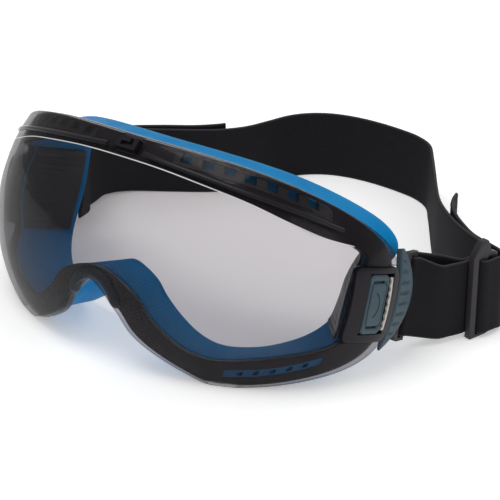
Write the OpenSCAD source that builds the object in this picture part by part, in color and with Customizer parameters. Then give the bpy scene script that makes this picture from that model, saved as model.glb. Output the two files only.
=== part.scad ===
// Over-spectacle safety goggles with a one-piece wrap lens, soft face seal and webbing headband.
// The goggles stand on the lower edge of the lens and of the seal, leaning back by rest_tilt,
// and the headband stands on its lower edge behind them. Worn directions before that lean:
// +X wearer's left, +Y towards the head, +Z up, with the centre of the lens ellipse as zero.

/* [Lens] */
// Width across the lens at the temples
lens_w = 176; // [168:1:184]
// Depth of the lens from its temple edges to its front
lens_depth = 60.7; // [58:0.1:63]
// Radius of the lens from brow to cheek
lens_bulge_r = 66.5; // [62:0.5:80]
// Thickness of the lens
lens_t = 2.2; // [1.8:0.1:2.2]

/* [Frame and seal] */
// Thickness of the frame ring behind the lens
frame_t = 2.6; // [2.2:0.1:2.8]
// Depth from the lens centre plane to the forehead edge of the seal
seal_face_y = -25; // [-28:1:-22]
// Radius of the nose saddle's roll
saddle_r = 2.4; // [2.2:0.1:2.8]
// Thickness of the ribbed side panels
panel_t = 2.4; // [1.8:0.1:2.6]

/* [Headband] */
// Width of the webbing
strap_w = 30; // [28:1:30]
// Thickness of the webbing
strap_t = 1.5; // [1.2:0.1:1.5]
// Height of a slider with its pointed head
slider_h = 39; // [38:0.5:42]
// Angle of the sliders outwards from straight back
slider_flare = 14; // [12:0.5:16]

/* [Pivots and latches] */
// Radius of the headband's pivot pins
pin_r = 2; // [1.6:0.1:2.2]
// Radial clearance of a terminal on its pin
pin_clearance = 0.05; // [0.02:0.01:0.1]
// Gap round each latch in its window
latch_gap = 0.4; // [0.3:0.05:0.6]

/* [Pose] */
// Lean of the goggles when they lie on a table
rest_tilt = 17; // [16:0.5:18]

/* [Hidden] */
$fn = 48;
GAP = 0.45;
SEAL_GAP = 0.6;

// Colours
SMOKE = [0.62, 0.62, 0.63, 0.45];
ANTHRACITE = [0.22, 0.22, 0.24];
BLACK = [0.08, 0.08, 0.09];
BLUE = [0.0, 0.42, 0.72];
SLATE = [0.25, 0.32, 0.37];

// Outlines from the top centre to the bottom centre of the left half, as points of
// [degrees round the lens, height]. All four have the same count, so that they loft together.
RIM = [[0, 38], [14, 37.9], [28, 37.2], [42, 35.5], [56, 32.4], [69, 27.9], [80, 22.6],
    [88.5, 16], [92.3, 7], [93, -3], [92.6, -12], [90, -20.5], [81, -27], [66, -33.5],
    [51, -38.8], [37.5, -41.9], [27, -38.9], [18, -34.4], [12, -29.4], [7.6, -22], [0, -13.5]];
APERTURE = [[0, 30.3], [13, 29.8], [26, 28], [38, 25.6], [50, 21.8], [60, 18.8], [70, 17.2],
    [78, 13.8], [76.4, 8.5], [74.4, 2], [74, -8], [74.4, -17.6], [67, -21.8], [57, -25.4],
    [46, -29.2], [36, -32], [28.5, -31], [22.5, -27.6], [16.8, -22.2], [10.5, -13.5], [0, -8.6]];
SEAL_FRONT = [[0, 36.4], [14, 36.3], [28, 35.6], [42, 33.8], [56, 30.6], [68.5, 26.3], [79, 21.5],
    [86, 16], [81, 10], [78.4, 0], [78.2, -10], [79, -19.5], [74.6, -26], [63, -32],
    [50, -36.6], [37.5, -39.9], [27.5, -37], [19, -32.5], [13.5, -27.5], [9, -20], [0, -11.5]];
// The seal's face edge as [x, height, forward]; the rest of its depth follows the curve of a face
FACE_EDGE = [[0, 37.6, 0], [18, 37.4, 0], [35, 36.4, 0], [50.5, 34.2, 0], [64, 30.2, 0], [74.5, 25.2, 0],
    [80, 20, 0], [81.6, 14.5, 0], [79.4, 8.2, 0], [77.4, 0, 0.5], [77, -9, 2], [75.6, -17.5, 3.5],
    [69.5, -25, 4], [59.5, -31, 3], [49, -34.6, 1.5], [38, -36, 0.5], [28.5, -33.5, 0.5],
    [20.5, -28, 2], [14.5, -21, 5], [10, -14, 8], [0, -9, 10.6]];
FACE_CURVE = 190;
RING_CENTRE_Z = 8;
SUB = 2;

// Depths below the lens's outer skin
frame_front = lens_t + GAP;
frame_back = frame_front + frame_t;
seal_front = frame_back + SEAL_GAP;

// Window for the clip, as degrees round the lens and heights
CLIP_FROM = 71.2;
CLIP_TO = 91.5;
CLIP_LOW = -16.5;
CLIP_HIGH = 11;
LATCH_DEG = 81.5;
LATCH_Z = -2.2;
LATCH_TURN = 11.5;
LATCH_W = 9.4;
LATCH_H = 21.5;
LATCH_PROUD = 0.5;
LATCH_DEPTH = 2.6;
SLOT_BEHIND_LATCH = 2.6;

// Vent strips and brow rails, as [degrees round the lens, height] of their middle lines
UPPER_VENT = [[14, 34.5], [28, 33.8], [42, 32.1], [56, 29], [64, 26.4]];
UPPER_VENT_H = 3.6;
LOWER_VENT = [[40, -36.4], [50, -33.5], [57, -31], [70, -25.2]];
LOWER_VENT_H = 3.2;
BROW_RAIL = [[6, 33.6], [25, 31.3], [40.6, 28.6], [52, 26.2], [66, 22.6]];
VENT_FRONT_GAP = 0.3;
FIT = 0.15;

// Catch at the middle of the brow
CATCH_W = 9;
CATCH_Z = 35.4;
CATCH_H = 4.6;
CATCH_LEAN = 32;

// Nose saddle, as [degrees round the lens, height] on the edge of the lens
SADDLE = [[-7.6, -21.5], [-6, -17], [-3.6, -13], [0, -11.3], [3.6, -13], [6, -17], [7.6, -21.5]];
SADDLE_DEPTH = 3;

// Liners inside the temples, from one point of the aperture's outline to another
LINER_FROM = 6.5;
LINER_TO = 11;
LINER_REACH = 0.84;
LINER_OFFSET = 0.35;
LINER_T = 0.8;

// Side panels
PANEL_FROM_Y = 3.5;
PANEL_LOW = -22.5;
PANEL_HIGH = 17;
PANEL_BACK_Y = 14;
PANEL_BACK_R = 23.8;
PANEL_MID_Z = -1.5;
SWING_R = 22.8;
SWING_X = 83.75;
RIB_COUNT = 9;
RIB_STEP = 3.36;
GROOVE_W = 1.1;
GROOVE_DEPTH = 0.7;

// Pivots, in worn directions, and the terminals that turn on them
PIVOT_Y = 9;
PIVOT_Z = -1;
PIN_HEAD_X = 79.4;
PIN_HEAD_T = 1.5;
PIN_HEAD_R = 3;
PIN_END_X = 86.6;
TERMINAL_X = 81.2;
TERMINAL_T = 2.2;
TERMINAL_R = 5;
TERMINAL_TILT = 14;
BOSS_R = 3.8;
BOSS_END_X = 85.2;
BAR_REACH = 11;
BAR_DROP = 2;
BAR_R = 1.25;
ARM_H = 16.8;
ARM_W = 1.2;
SLOT_FROM = 7.4;
ARM_FROM = 7;

// Sliders
SLIDER_AT = [99, 42.8];
SLIDER_FOOT = 0.2;
SLIDER_BAR_R = 1.35;
SLIDER_BAR_STEP = 4.6;
SLIDER_RAIL = 1.2;
SLIDER_HEAD_FROM = 33.4;

// A point on a surface that lies d below the lens's outer skin
function inset(z) = lens_bulge_r - sqrt(pow(lens_bulge_r, 2) - z * z);
function skin(p, d) = [(lens_w / 2 - inset(p[1]) - d) * sin(p[0]),
    -(lens_depth - inset(p[1]) - d) * cos(p[0]), p[1]];

// Smooth curves through control points
function catmull(a, b, c, d, t) = 0.5 * ((2 * b) + (c - a) * t
    + (2 * a - 5 * b + 4 * c - d) * t * t + (3 * b - a - 3 * c + d) * t * t * t);
function closed_smooth(p, sub) = let (n = len(p))
    [for (i = [0:n - 1], k = [0:sub - 1])
        catmull(p[(i + n - 1) % n], p[i], p[(i + 1) % n], p[(i + 2) % n], k / sub)];
function open_smooth(p, sub) = let (n = len(p), first = 2 * p[0] - p[1], last = 2 * p[n - 1] - p[n - 2])
    [for (i = [0:n - 2], k = [0:sub - 1])
        catmull(i > 0 ? p[i - 1] : first, p[i], p[i + 1], i < n - 2 ? p[i + 2] : last, k / sub),
    p[n - 1]];
function mirrored(half) = let (n = len(half))
    [each half, for (i = [n - 2:-1:1]) [for (k = [0:len(half[i]) - 1]) k == 0 ? -half[i][0] : half[i][k]]];
function outline(half) = closed_smooth(mirrored(half), SUB);

// Loops of the seal and of the lens
function on_skin(half, d) = [for (p = outline(half)) skin(p, d)];
function face_y(x) = seal_face_y + x * x / FACE_CURVE;
function face_loop(kx, kz, back) = [for (p = outline(FACE_EDGE))
    let (h = p[1] - RING_CENTRE_Z)
        [kx * p[0], face_y(p[0]) + back - p[2], RING_CENTRE_Z + h * (h < 0 ? (1 + kz) / 2 : kz)]];
function shrunk(half, k, d) = [for (p = outline(half))
    skin([k * p[0], RING_CENTRE_Z + k * (p[1] - RING_CENTRE_Z)], d)];
function between(a, b, t) = [for (i = [0:len(a) - 1]) a[i] * (1 - t) + b[i] * t];

// Triangles that join loops of points
function quads(m, n, last) = [for (i = [0:last], j = [0:n - 1])
    let (a = i * n + j, b = i * n + (j + 1) % n, c = ((i + 1) % m) * n + (j + 1) % n,
        d = ((i + 1) % m) * n + j)
        each [[a, b, c], [a, c, d]]];
function middle(l) = [for (p = l) 1] * l / len(l);
// A tube that closes on itself
module ring(loops) {
    m = len(loops);
    polyhedron([for (l = loops) each l], quads(m, len(loops[0]), m - 1));
}
// A shape closed at both ends, whose loops run clockwise seen from the last one
module stack(loops) {
    m = len(loops);
    n = len(loops[0]);
    polyhedron([each [for (l = loops) each l], middle(loops[0]), middle(loops[m - 1])],
        [each quads(m, n, m - 2),
            for (j = [0:n - 1]) [m * n, (j + 1) % n, j],
            for (j = [0:n - 1]) [m * n + 1, (m - 1) * n + j, (m - 1) * n + (j + 1) % n]]);
}
// A strip between two depths below the skin, along a line of [degrees, height]
module strip(line, h, front, back, step = 2.4) {
    first = line[0][0];
    last = line[len(line) - 1][0];
    n = ceil((last - first) / step);
    stack([for (i = [0:n]) let (t = first + (last - first) * i / n, z = lookup(t, line))
        [skin([t, z - h / 2], front), skin([t, z], front), skin([t, z + h / 2], front),
            skin([t, z + h / 2], back), skin([t, z], back), skin([t, z - h / 2], back)]]);
}
// A patch of the skin between two depths, from one angle to another and from low to high
module patch(from, to, low, high, front, back) {
    n = ceil((to - from) / 2.4);
    m = ceil((high - low) / 4);
    stack([for (i = [0:n]) let (t = from + (to - from) * i / n)
        [for (k = [0:m]) skin([t, low + (high - low) * k / m], front),
            for (k = [m:-1:0]) skin([t, low + (high - low) * k / m], back)]]);
}

// The goggles lean back by rest_tilt and stand on the lowest points of the rim, cut to small lands
function leaned(p) = [p[0], p[1] * cos(rest_tilt) + p[2] * sin(rest_tilt),
    p[2] * cos(rest_tilt) - p[1] * sin(rest_tilt)];
LAND_DEPTH = 0.3;
lift = -min([for (p = on_skin(RIM, 0)) leaned(p)[2]]) - LAND_DEPTH;
pivot = leaned([0, PIVOT_Y, PIVOT_Z]) + [0, 0, lift];

// Routes of the webbing's centre on the table: [x, y, height of the lower edge, lean of the upper edge]
bar_x = TERMINAL_X + TERMINAL_T / 2;
bar = [bar_x, pivot[1] + BAR_REACH * cos(TERMINAL_TILT) - BAR_DROP * sin(TERMINAL_TILT),
    pivot[2] - BAR_REACH * sin(TERMINAL_TILT) - BAR_DROP * cos(TERMINAL_TILT)];
bar_low = bar[2] - strap_w / 2 * cos(TERMINAL_TILT);
slider_low = SLIDER_FOOT + SLIDER_RAIL + 0.3;
bend = BAR_R + 0.3 + strap_t / 2;
layer = SLIDER_BAR_R + 0.4 + strap_t / 2;
inner_layer = layer + 0.3 + strap_t;
function at_slider(s, t, low = slider_low) = [SLIDER_AT[0] + s * sin(slider_flare) + t * cos(slider_flare),
    SLIDER_AT[1] + s * cos(slider_flare) - t * sin(slider_flare), low, 0];
function at_bar(dx, dy) = [bar[0] + dx, bar[1] + dy * cos(TERMINAL_TILT),
    bar_low - dy * sin(TERMINAL_TILT), TERMINAL_TILT];
function toward_bar(x, y, share) = [x, y, slider_low * (1 - share) + bar_low * share,
    TERMINAL_TILT * share];
step = SLIDER_BAR_STEP;
loop_route = [at_slider(step + 0.7, -inner_layer), at_slider(0, -inner_layer),
    at_slider(-step - 1.6, -inner_layer), toward_bar(87.4, 32.4, 0.3), toward_bar(83.6, 26.6, 0.65),
    toward_bar(81, 22.4, 0.92), at_bar(-bend, 0.3), at_bar(-0.75 * bend, -0.7 * bend), at_bar(0, -bend),
    at_bar(0.75 * bend, -0.7 * bend), at_bar(bend, 0.3), toward_bar(86.6, 22, 0.6),
    toward_bar(90.6, 27, 0.1), toward_bar(92.6, 31.6, 0), at_slider(-step - 2.4, -layer + 0.1),
    at_slider(-step - 0.2, -layer), at_slider(-step + 1.4, -0.75 * layer), at_slider(-step / 2, 0),
    at_slider(-1.4, 0.75 * layer), at_slider(0, layer), at_slider(2.6, layer), at_slider(step + 1.2, layer)];
tail_left_route = [at_slider(step + 1.5, layer), [102.8, 50.4, 1, 0], [101.6, 53.8, 0.4, 0], [98.2, 56.4, 0, 0],
    [92.6, 58.6, 0, 0], [86.2, 61, 0, 0], [80.6, 64, 0, 0], [70.8, 71.4, 0.4, 0],
    [64.5, 78, 0.8, 0], [61, 84, 0.8, 0], [59, 90, 0.8, 0]];
tail_right_route = [at_slider(step + 1.5, layer), [102.8, 50.4, 1.4, 0], [102.4, 54.6, 1, 0],
    [99, 60, 0.8, 0], [92.8, 66.6, 0.8, 0], [81.6, 75.8, 0.8, 0], [70.8, 83.8, 0.8, 0],
    [64, 91, 0.8, 0], [62, 94, 0.8, 0]];
main_route = [at_slider(step + 1.5, -inner_layer), [95, 53, 1.7, 0], [90, 55.6, 1.7, 0],
    [79.6, 61, 1.6, 0], [69, 69, 1, 0], [57, 80.6, 0.3, 0], [47, 94, 0, 0], [38, 107, 0, 0], [29.6, 119, 0, 0],
    [22, 129, 0, 0], [13, 134.4, 0, 0], [2, 136.8, 0, 0], [-12, 137.8, 0, 0], [-24, 136.8, 0, 0],
    [-34, 133.6, 0, 0], [-42, 127.6, 0, 0], [-47, 119.6, 0, 0], [-50, 109, 0, 0], [-53.6, 98, 0, 0],
    [-60, 89, 0, 0], [-69, 81.4, 0, 0], [-80, 73.6, 0, 0], [-90, 65.6, 0.4, 0], [-94.9, 59.3, 0.8, 0],
    [-96.6, 54, 1.2, 0],
    [-at_slider(step + 1.5, -inner_layer)[0], at_slider(step + 1.5, -inner_layer)[1], slider_low, 0]];

// The middle of the whole goggles, front to back, which is put over the origin
front_y = min([for (p = SADDLE) leaned(skin(p, SADDLE_DEPTH))[1]]) - saddle_r;
back_y = max([for (p = open_smooth(main_route, 3)) p[1]]) + strap_t / 2;
centre_y = (front_y + back_y) / 2;
module placed() {
    translate([0, -centre_y, 0]) children();
}
module worn() {
    placed() translate([0, 0, lift]) rotate([-rest_tilt, 0, 0]) children();
}
module on_side(side) {
    if (side < 0) mirror([1, 0, 0]) children();
    else children();
}
module above_table() {
    difference() {
        children();
        translate([-120, -120, -20]) cube([240, 240, 20]);
    }
}
module at_latch() {
    translate(skin([LATCH_DEG, LATCH_Z], 0)) rotate([0, 0, -LATCH_TURN]) children();
}
// The opening the latch sits in, with the slot behind it
module latch_window() {
    at_latch() translate([-8, -LATCH_W / 2 - latch_gap, -LATCH_H / 2 - latch_gap])
        cube([16, LATCH_W + latch_gap + SLOT_BEHIND_LATCH, LATCH_H + 2 * latch_gap]);
}

// One-piece wrap lens with openings for the two clips and the brow catch
module lens() {
    steps = [0.06, 0.3, 0.55, 0.8];
    back = [for (k = steps) shrunk(APERTURE, k, lens_t)];
    front = [for (k = steps) shrunk(APERTURE, k, 0)];
    inner = [on_skin(APERTURE, lens_t), midway(lens_t), on_skin(RIM, lens_t)];
    outer = [on_skin(RIM, 0), midway(0), on_skin(APERTURE, 0)];
    color(SMOKE) above_table() worn() difference() {
        stack([each back, each inner, each outer, for (i = [3:-1:0]) front[i]]);
        for (side = [-1, 1]) on_side(side) temple_block(CLIP_FROM - 0.4, 100, CLIP_LOW - 0.3, CLIP_HIGH + 0.3);
        translate([-CATCH_W / 2 - 0.3, -70, CATCH_Z - CATCH_H / 2 - 1.4]) cube([CATCH_W + 0.6, 40, 20]);
    }
}
function midway(d) = [for (i = [0:len(outline(RIM)) - 1])
    skin((outline(RIM)[i] + outline(APERTURE)[i]) / 2, d)];
// A block through the temple of the lens, from one angle round it to another
module temple_block(from, to, low, high) {
    y_from = skin([from, 0], 0)[1];
    translate([70, y_from, low]) cube([24, skin([to, 0], 0)[1] - y_from, high - low]);
}

// Ring behind the lens that carries the vents, the clips and the seal
module frame() {
    color(ANTHRACITE) above_table() worn() difference() {
        ring([on_skin(RIM, frame_back), on_skin(RIM, frame_front), midway(frame_front),
            on_skin(APERTURE, frame_front), on_skin(APERTURE, frame_back), midway(frame_back)]);
        for (side = [-1, 1]) on_side(side) {
            latch_window();
            strip(widened(UPPER_VENT), UPPER_VENT_H + 2 * FIT, 0, 8);
            strip(widened(LOWER_VENT), LOWER_VENT_H + 2 * FIT, 0, 8);
        }
    }
}
function widened(line) = let (n = len(line)) [for (i = [0:n - 1])
    [line[i][0] + (i == 0 ? -0.3 : i == n - 1 ? 0.3 : 0), line[i][1]]];

// Soft ring between the frame and the face
module face_seal() {
    front_outer = on_skin(SEAL_FRONT, seal_front);
    front_inner = on_skin(APERTURE, seal_front);
    back_outer = face_loop(1, 1, -1.5);
    back_inner = face_loop(0.83, 0.84, 0.5);
    color(BLUE) above_table() worn()
        ring([face_loop(0.985, 0.985, 0), back_outer, between(back_outer, front_outer, 0.5), front_outer,
            front_inner, between(front_inner, back_inner, 0.5), back_inner]);
}

// Dark wall inside each temple, in front of the seal's inner wall
module temple_liner(side) {
    front = on_skin(APERTURE, seal_front);
    back = face_loop(0.83, 0.84, 0.5);
    color(ANTHRACITE) worn() on_side(side)
        stack([for (i = [LINER_FROM * SUB:LINER_TO * SUB])
            [for (k = [0:4]) inward(front[i], back[i], 0.03 + LINER_REACH * k / 4, LINER_OFFSET),
                for (k = [4:-1:0]) inward(front[i], back[i], 0.03 + LINER_REACH * k / 4,
                    LINER_OFFSET + LINER_T)]]);
}
// A point t of the way from a to b, moved d towards the middle of the ring
function inward(a, b, t, d) = let (p = a * (1 - t) + b * t) p - d * unit([p[0], 0, p[2] - RING_CENTRE_Z]);

// Thick roll moulded over the edge of the lens and frame at the nose
module nose_saddle() {
    path = [for (p = open_smooth(SADDLE, 2)) skin(p, SADDLE_DEPTH)];
    n = len(path);
    color(BLACK) worn() stack([for (i = [0:n - 1])
        let (t = unit(path[min(i + 1, n - 1)] - path[max(i - 1, 0)]), u = unit(cross([0, -1, 0], t)),
            r = saddle_r * (i == 0 || i == n - 1 ? 0.6 : 1))
            [for (a = [0:30:330]) path[i] + r * (cos(a) * cross(t, u) + sin(a) * u)]]);
}
function unit(v) = v / norm(v);

// Small hook plate at the middle of the brow
module brow_catch() {
    color(BLACK) worn() difference() {
        translate(skin([0, CATCH_Z], 0)) rotate([-CATCH_LEAN, 0, 0])
            translate([-CATCH_W / 2, -0.7, -CATCH_H / 2]) cube([CATCH_W, 2.6, CATCH_H]);
        translate(skin([0, CATCH_Z], 0)) rotate([-CATCH_LEAN, 0, 0]) {
            translate([-2.6, -2, -1.3]) cube([5.2, 2.6, 1.6]);
            translate([1, -2, -1.3]) cube([1.6, 2.6, 5]);
        }
    }
}

// Raised rail along the brow, outside the lens
module brow_rail(side) {
    color(BLACK) worn() on_side(side) strip(BROW_RAIL, 1.7, -0.9, -0.1);
}

// Castellated strip in the frame's upper vent slot
module upper_vent(side) {
    color(BLACK) worn() on_side(side) difference() {
        strip(UPPER_VENT, UPPER_VENT_H, frame_front + VENT_FRONT_GAP, frame_back);
        for (i = [0:6]) let (t = 17.8 + 6.6 * i)
            strip([[t - 1.7, lookup(t - 1.7, UPPER_VENT) + 1], [t + 1.7, lookup(t + 1.7, UPPER_VENT) + 1]],
                UPPER_VENT_H, -1, 9);
    }
}

// Perforated strip in the frame's lower vent slot
module lower_vent(side) {
    color(BLUE) worn() on_side(side) difference() {
        strip(LOWER_VENT, LOWER_VENT_H, frame_front + VENT_FRONT_GAP, frame_back);
        for (i = [0:4]) let (t = 45 + 5 * i)
            strip([[t - 0.9, lookup(t - 0.9, LOWER_VENT)], [t + 0.9, lookup(t + 0.9, LOWER_VENT)]], 1.7, -1, 9);
    }
}

// Glossy surround in the lens's temple opening
module clip_bezel(side) {
    color(BLACK) worn() on_side(side) difference() {
        patch(CLIP_FROM, CLIP_TO, CLIP_LOW, CLIP_HIGH, -0.4, lens_t + 0.1);
        latch_window();
    }
}

// Press-in latch that lets go of the lens
module latch(side) {
    corner = 2;
    color(SLATE) worn() on_side(side) difference() {
        intersection() {
            patch(74, 89, LATCH_Z - 13, LATCH_Z + 13, -LATCH_PROUD, LATCH_DEPTH);
            at_latch() rotate([0, 90, 0]) linear_extrude(20, center = true) hull()
                for (z = [-1, 1], y = [-1, 1])
                    translate([z * (LATCH_H / 2 - corner), y * (LATCH_W / 2 - corner)]) circle(corner, $fn = 24);
        }
        for (z = [-1, 1]) at_latch() translate([0, 0, z * (LATCH_H / 2 - 2.6)])
            translate([-1.2, -LATCH_W / 2 + 2, -0.5]) cube([6, LATCH_W - 4, 1]);
    }
}

// Ribbed cover behind the temple that holds the pivot pin
module side_panel(side) {
    centre_x = lens_w / 2 - lens_bulge_r;
    color(SLATE) worn() on_side(side) difference() {
        intersection() {
            translate([centre_x, PANEL_FROM_Y, 0]) rotate([-90, 0, 0]) difference() {
                cylinder(r = lens_bulge_r, h = 11, $fn = 160);
                translate([0, 0, -1]) cylinder(r = lens_bulge_r - panel_t, h = 13, $fn = 160);
            }
            translate([70, PANEL_BACK_Y - PANEL_BACK_R, PANEL_MID_Z]) rotate([0, 90, 0])
                cylinder(r = PANEL_BACK_R, h = 30, $fn = 120);
            translate([70, 0, PANEL_LOW]) cube([30, 30, PANEL_HIGH - PANEL_LOW]);
        }
        for (i = [0:RIB_COUNT - 1])
            translate([centre_x, 0, 0]) rotate([0, (RIB_COUNT - 1) / 2 * RIB_STEP + 2.4 - i * RIB_STEP, 0])
                translate([lens_bulge_r - GROOVE_DEPTH, 5, -GROOVE_W / 2]) cube([5, 6.4, GROOVE_W]);
        translate([PIN_HEAD_X, PIVOT_Y, PIVOT_Z]) rotate([0, 90, 0]) {
            cylinder(r = pin_r, h = PIN_END_X - PIN_HEAD_X);
            // room for the terminal to swing in
            cylinder(r = SWING_R, h = SWING_X - PIN_HEAD_X, $fn = 96);
        }
    }
}

// Headed pin the headband turns on
module pivot_pin(side) {
    color(BLACK) worn() on_side(side) translate([PIN_HEAD_X, PIVOT_Y, PIVOT_Z]) rotate([0, 90, 0]) {
        cylinder(r = pin_r, h = PIN_END_X - PIN_HEAD_X);
        cylinder(r = PIN_HEAD_R, h = PIN_HEAD_T);
    }
}

// Plate with a bore for the pin and a bar for the webbing
module strap_terminal(side) {
    color(BLACK) placed() on_side(side) translate([TERMINAL_X, pivot[1], pivot[2]]) rotate([-TERMINAL_TILT, 0, 0])
        difference() {
            union() {
                multmatrix([[0, 0, 1, 0], [1, 0, 0, 0], [0, 1, 0, 0]]) linear_extrude(TERMINAL_T) difference() {
                    union() {
                        hull() {
                            circle(TERMINAL_R);
                            for (z = [-1, 1]) translate([ARM_FROM, z * (ARM_H - ARM_W) - BAR_DROP])
                                circle(ARM_W, $fn = 24);
                        }
                        translate([ARM_FROM, -ARM_H - BAR_DROP]) square([BAR_REACH - ARM_FROM, 2 * ARM_H]);
                    }
                    translate([SLOT_FROM, ARM_W - ARM_H - BAR_DROP]) square([9, 2 * (ARM_H - ARM_W)]);
                }
                translate([TERMINAL_T / 2, BAR_REACH, -ARM_H - BAR_DROP]) cylinder(r = BAR_R, h = 2 * ARM_H);
                rotate([0, 90, 0]) cylinder(r = BOSS_R, h = BOSS_END_X - TERMINAL_X);
            }
            rotate([0, 90, 0]) translate([0, 0, -1]) cylinder(r = pin_r + pin_clearance, h = 9);
        }
}

// Three-bar slider with a pointed head
module slider(side) {
    t = 2 * SLIDER_BAR_R + 0.3;
    high = SLIDER_FOOT + 2 * SLIDER_RAIL + 0.6 + strap_w;
    half = SLIDER_BAR_STEP + SLIDER_BAR_R + 0.15;
    color(BLACK) placed() on_side(side) translate([SLIDER_AT[0], SLIDER_AT[1], 0]) rotate([0, 0, -slider_flare]) {
        for (s = [-1:1]) translate([0, s * SLIDER_BAR_STEP, SLIDER_FOOT])
            cylinder(r = SLIDER_BAR_R, h = high - SLIDER_FOOT, $fn = 32);
        translate([-t / 2, 0, 0]) multmatrix([[0, 0, 1, 0], [1, 0, 0, 0], [0, 1, 0, 0]]) linear_extrude(t) {
            polygon([[-half, SLIDER_FOOT + 0.3], [-half + 0.4, SLIDER_FOOT], [half - 4, SLIDER_FOOT],
                [half, SLIDER_FOOT + SLIDER_RAIL], [-half, SLIDER_FOOT + SLIDER_RAIL]]);
            polygon([[-half, high - SLIDER_RAIL], [half, high - SLIDER_RAIL], [half, high - 0.4],
                [2.8, high + 1], [1.6, slider_h - 1.2], [0.8, slider_h], [-2, slider_h], [-2.8, slider_h - 0.8],
                [-half, high]]);
        }
    }
}

// Webbing swept along a route
module webbing(route) {
    path = open_smooth(route, 3);
    n = len(path);
    c = [for (p = path) [p[0], p[1], max(0, p[2]) + strap_w / 2 * cos(p[3])]];
    stack([for (i = [0:n - 1])
        let (t = unit(c[min(i + 1, n - 1)] - c[max(i - 1, 0)]),
            u = strap_w / 2 * [0, sin(path[i][3]), cos(path[i][3])],
            w = strap_t / 2 * unit(cross(t, u)))
            [c[i] + w - u, c[i] + w + u, c[i] - w + u, c[i] - w - u]]);
}
module strap_loop(side) {
    color(BLACK) placed() on_side(side) webbing(loop_route);
}
module strap_tail(side) {
    color(BLACK) placed() on_side(side) webbing(side > 0 ? tail_left_route : tail_right_route);
}
// One length of webbing round the back of the head, folded sharply once
module strap_main() {
    color(BLACK) placed() webbing(main_route);
}

lens();
frame();
face_seal();
nose_saddle();
brow_catch();
brow_rail(1);  // brow_rail_left
brow_rail(-1);  // brow_rail_right
upper_vent(1);  // upper_vent_left
upper_vent(-1);  // upper_vent_right
lower_vent(1);  // lower_vent_left
lower_vent(-1);  // lower_vent_right
temple_liner(1);  // temple_liner_left
temple_liner(-1);  // temple_liner_right
clip_bezel(1);  // clip_bezel_left
clip_bezel(-1);  // clip_bezel_right
latch(1);  // latch_left
latch(-1);  // latch_right
side_panel(1);  // side_panel_left
side_panel(-1);  // side_panel_right
pivot_pin(1);  // pivot_pin_left
pivot_pin(-1);  // pivot_pin_right
strap_terminal(1);  // strap_terminal_left
strap_terminal(-1);  // strap_terminal_right
slider(1);  // slider_left
slider(-1);  // slider_right
strap_loop(1);  // strap_loop_left
strap_loop(-1);  // strap_loop_right
strap_tail(1);  // strap_tail_left
strap_tail(-1);  // strap_tail_right
strap_main();
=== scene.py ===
"""Looks for the safety goggles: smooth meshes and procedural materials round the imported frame.

Lengths are in millimetres until a mesh is made. Worn directions are +X wearer's left, +Y towards the
head, +Z up; on_table() leans them back and puts them where the frame's goggles lie.
"""

import math

import bmesh
import bpy
import numpy as np
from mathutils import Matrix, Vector


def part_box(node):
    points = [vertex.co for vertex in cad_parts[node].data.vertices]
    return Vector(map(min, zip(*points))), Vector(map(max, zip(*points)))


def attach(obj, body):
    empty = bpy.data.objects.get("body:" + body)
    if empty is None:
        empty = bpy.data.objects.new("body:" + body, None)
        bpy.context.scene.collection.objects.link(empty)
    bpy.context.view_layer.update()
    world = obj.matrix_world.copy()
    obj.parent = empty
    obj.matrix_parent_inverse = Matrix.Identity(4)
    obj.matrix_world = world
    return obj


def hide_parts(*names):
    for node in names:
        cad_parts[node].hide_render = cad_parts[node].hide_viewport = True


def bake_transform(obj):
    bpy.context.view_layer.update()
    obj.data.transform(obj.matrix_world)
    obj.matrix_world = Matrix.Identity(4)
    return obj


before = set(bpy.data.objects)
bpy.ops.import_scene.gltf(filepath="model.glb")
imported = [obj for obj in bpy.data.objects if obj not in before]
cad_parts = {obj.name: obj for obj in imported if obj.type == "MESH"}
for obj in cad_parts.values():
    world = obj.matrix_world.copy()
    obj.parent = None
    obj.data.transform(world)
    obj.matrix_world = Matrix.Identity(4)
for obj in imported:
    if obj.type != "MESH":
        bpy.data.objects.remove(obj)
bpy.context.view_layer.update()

MM = 0.001
SIDES = {"left": 1, "right": -1}

# ---------------------------------------------------------------- shapes shared with the CAD

LENS_HALF_WIDTH = 88.0
LENS_DEPTH = 60.7
BULGE_R = 66.5
LENS_T = 2.2
FRAME_FRONT = 2.65
FRAME_BACK = 5.25
SEAL_FRONT_DEPTH = 5.85
REST_TILT = math.radians(17)
PIVOT_WORN = (9.0, -1.0)
RING_CENTRE_Z = 8.0

# Half outlines from the top centre to the bottom centre: [degrees round the lens, height]
RIM = [[0, 38], [14, 37.9], [28, 37.2], [42, 35.5], [56, 32.4], [69, 27.9], [80, 22.6],
       [88.5, 16], [92.3, 7], [93, -3], [92.6, -12], [90, -20.5], [81, -27], [66, -33.5],
       [51, -38.8], [37.5, -41.9], [27, -38.9], [18, -34.4], [12, -29.4], [7.6, -22], [0, -13.5]]
APERTURE = [[0, 30.3], [13, 29.8], [26, 28], [38, 25.6], [50, 21.8], [60, 18.8], [70, 17.2],
            [78, 13.8], [76.4, 8.5], [74.4, 2], [74, -8], [74.4, -17.6], [67, -21.8], [57, -25.4],
            [46, -29.2], [36, -32], [28.5, -31], [22.5, -27.6], [16.8, -22.2], [10.5, -13.5], [0, -8.6]]
SEAL_FRONT = [[0, 36.4], [14, 36.3], [28, 35.6], [42, 33.8], [56, 30.6], [68.5, 26.3], [79, 21.5],
              [86, 16], [81, 10], [78.4, 0], [78.2, -10], [79, -19.5], [74.6, -26], [63, -32],
              [50, -36.6], [37.5, -39.9], [27.5, -37], [19, -32.5], [13.5, -27.5], [9, -20], [0, -11.5]]
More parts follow.
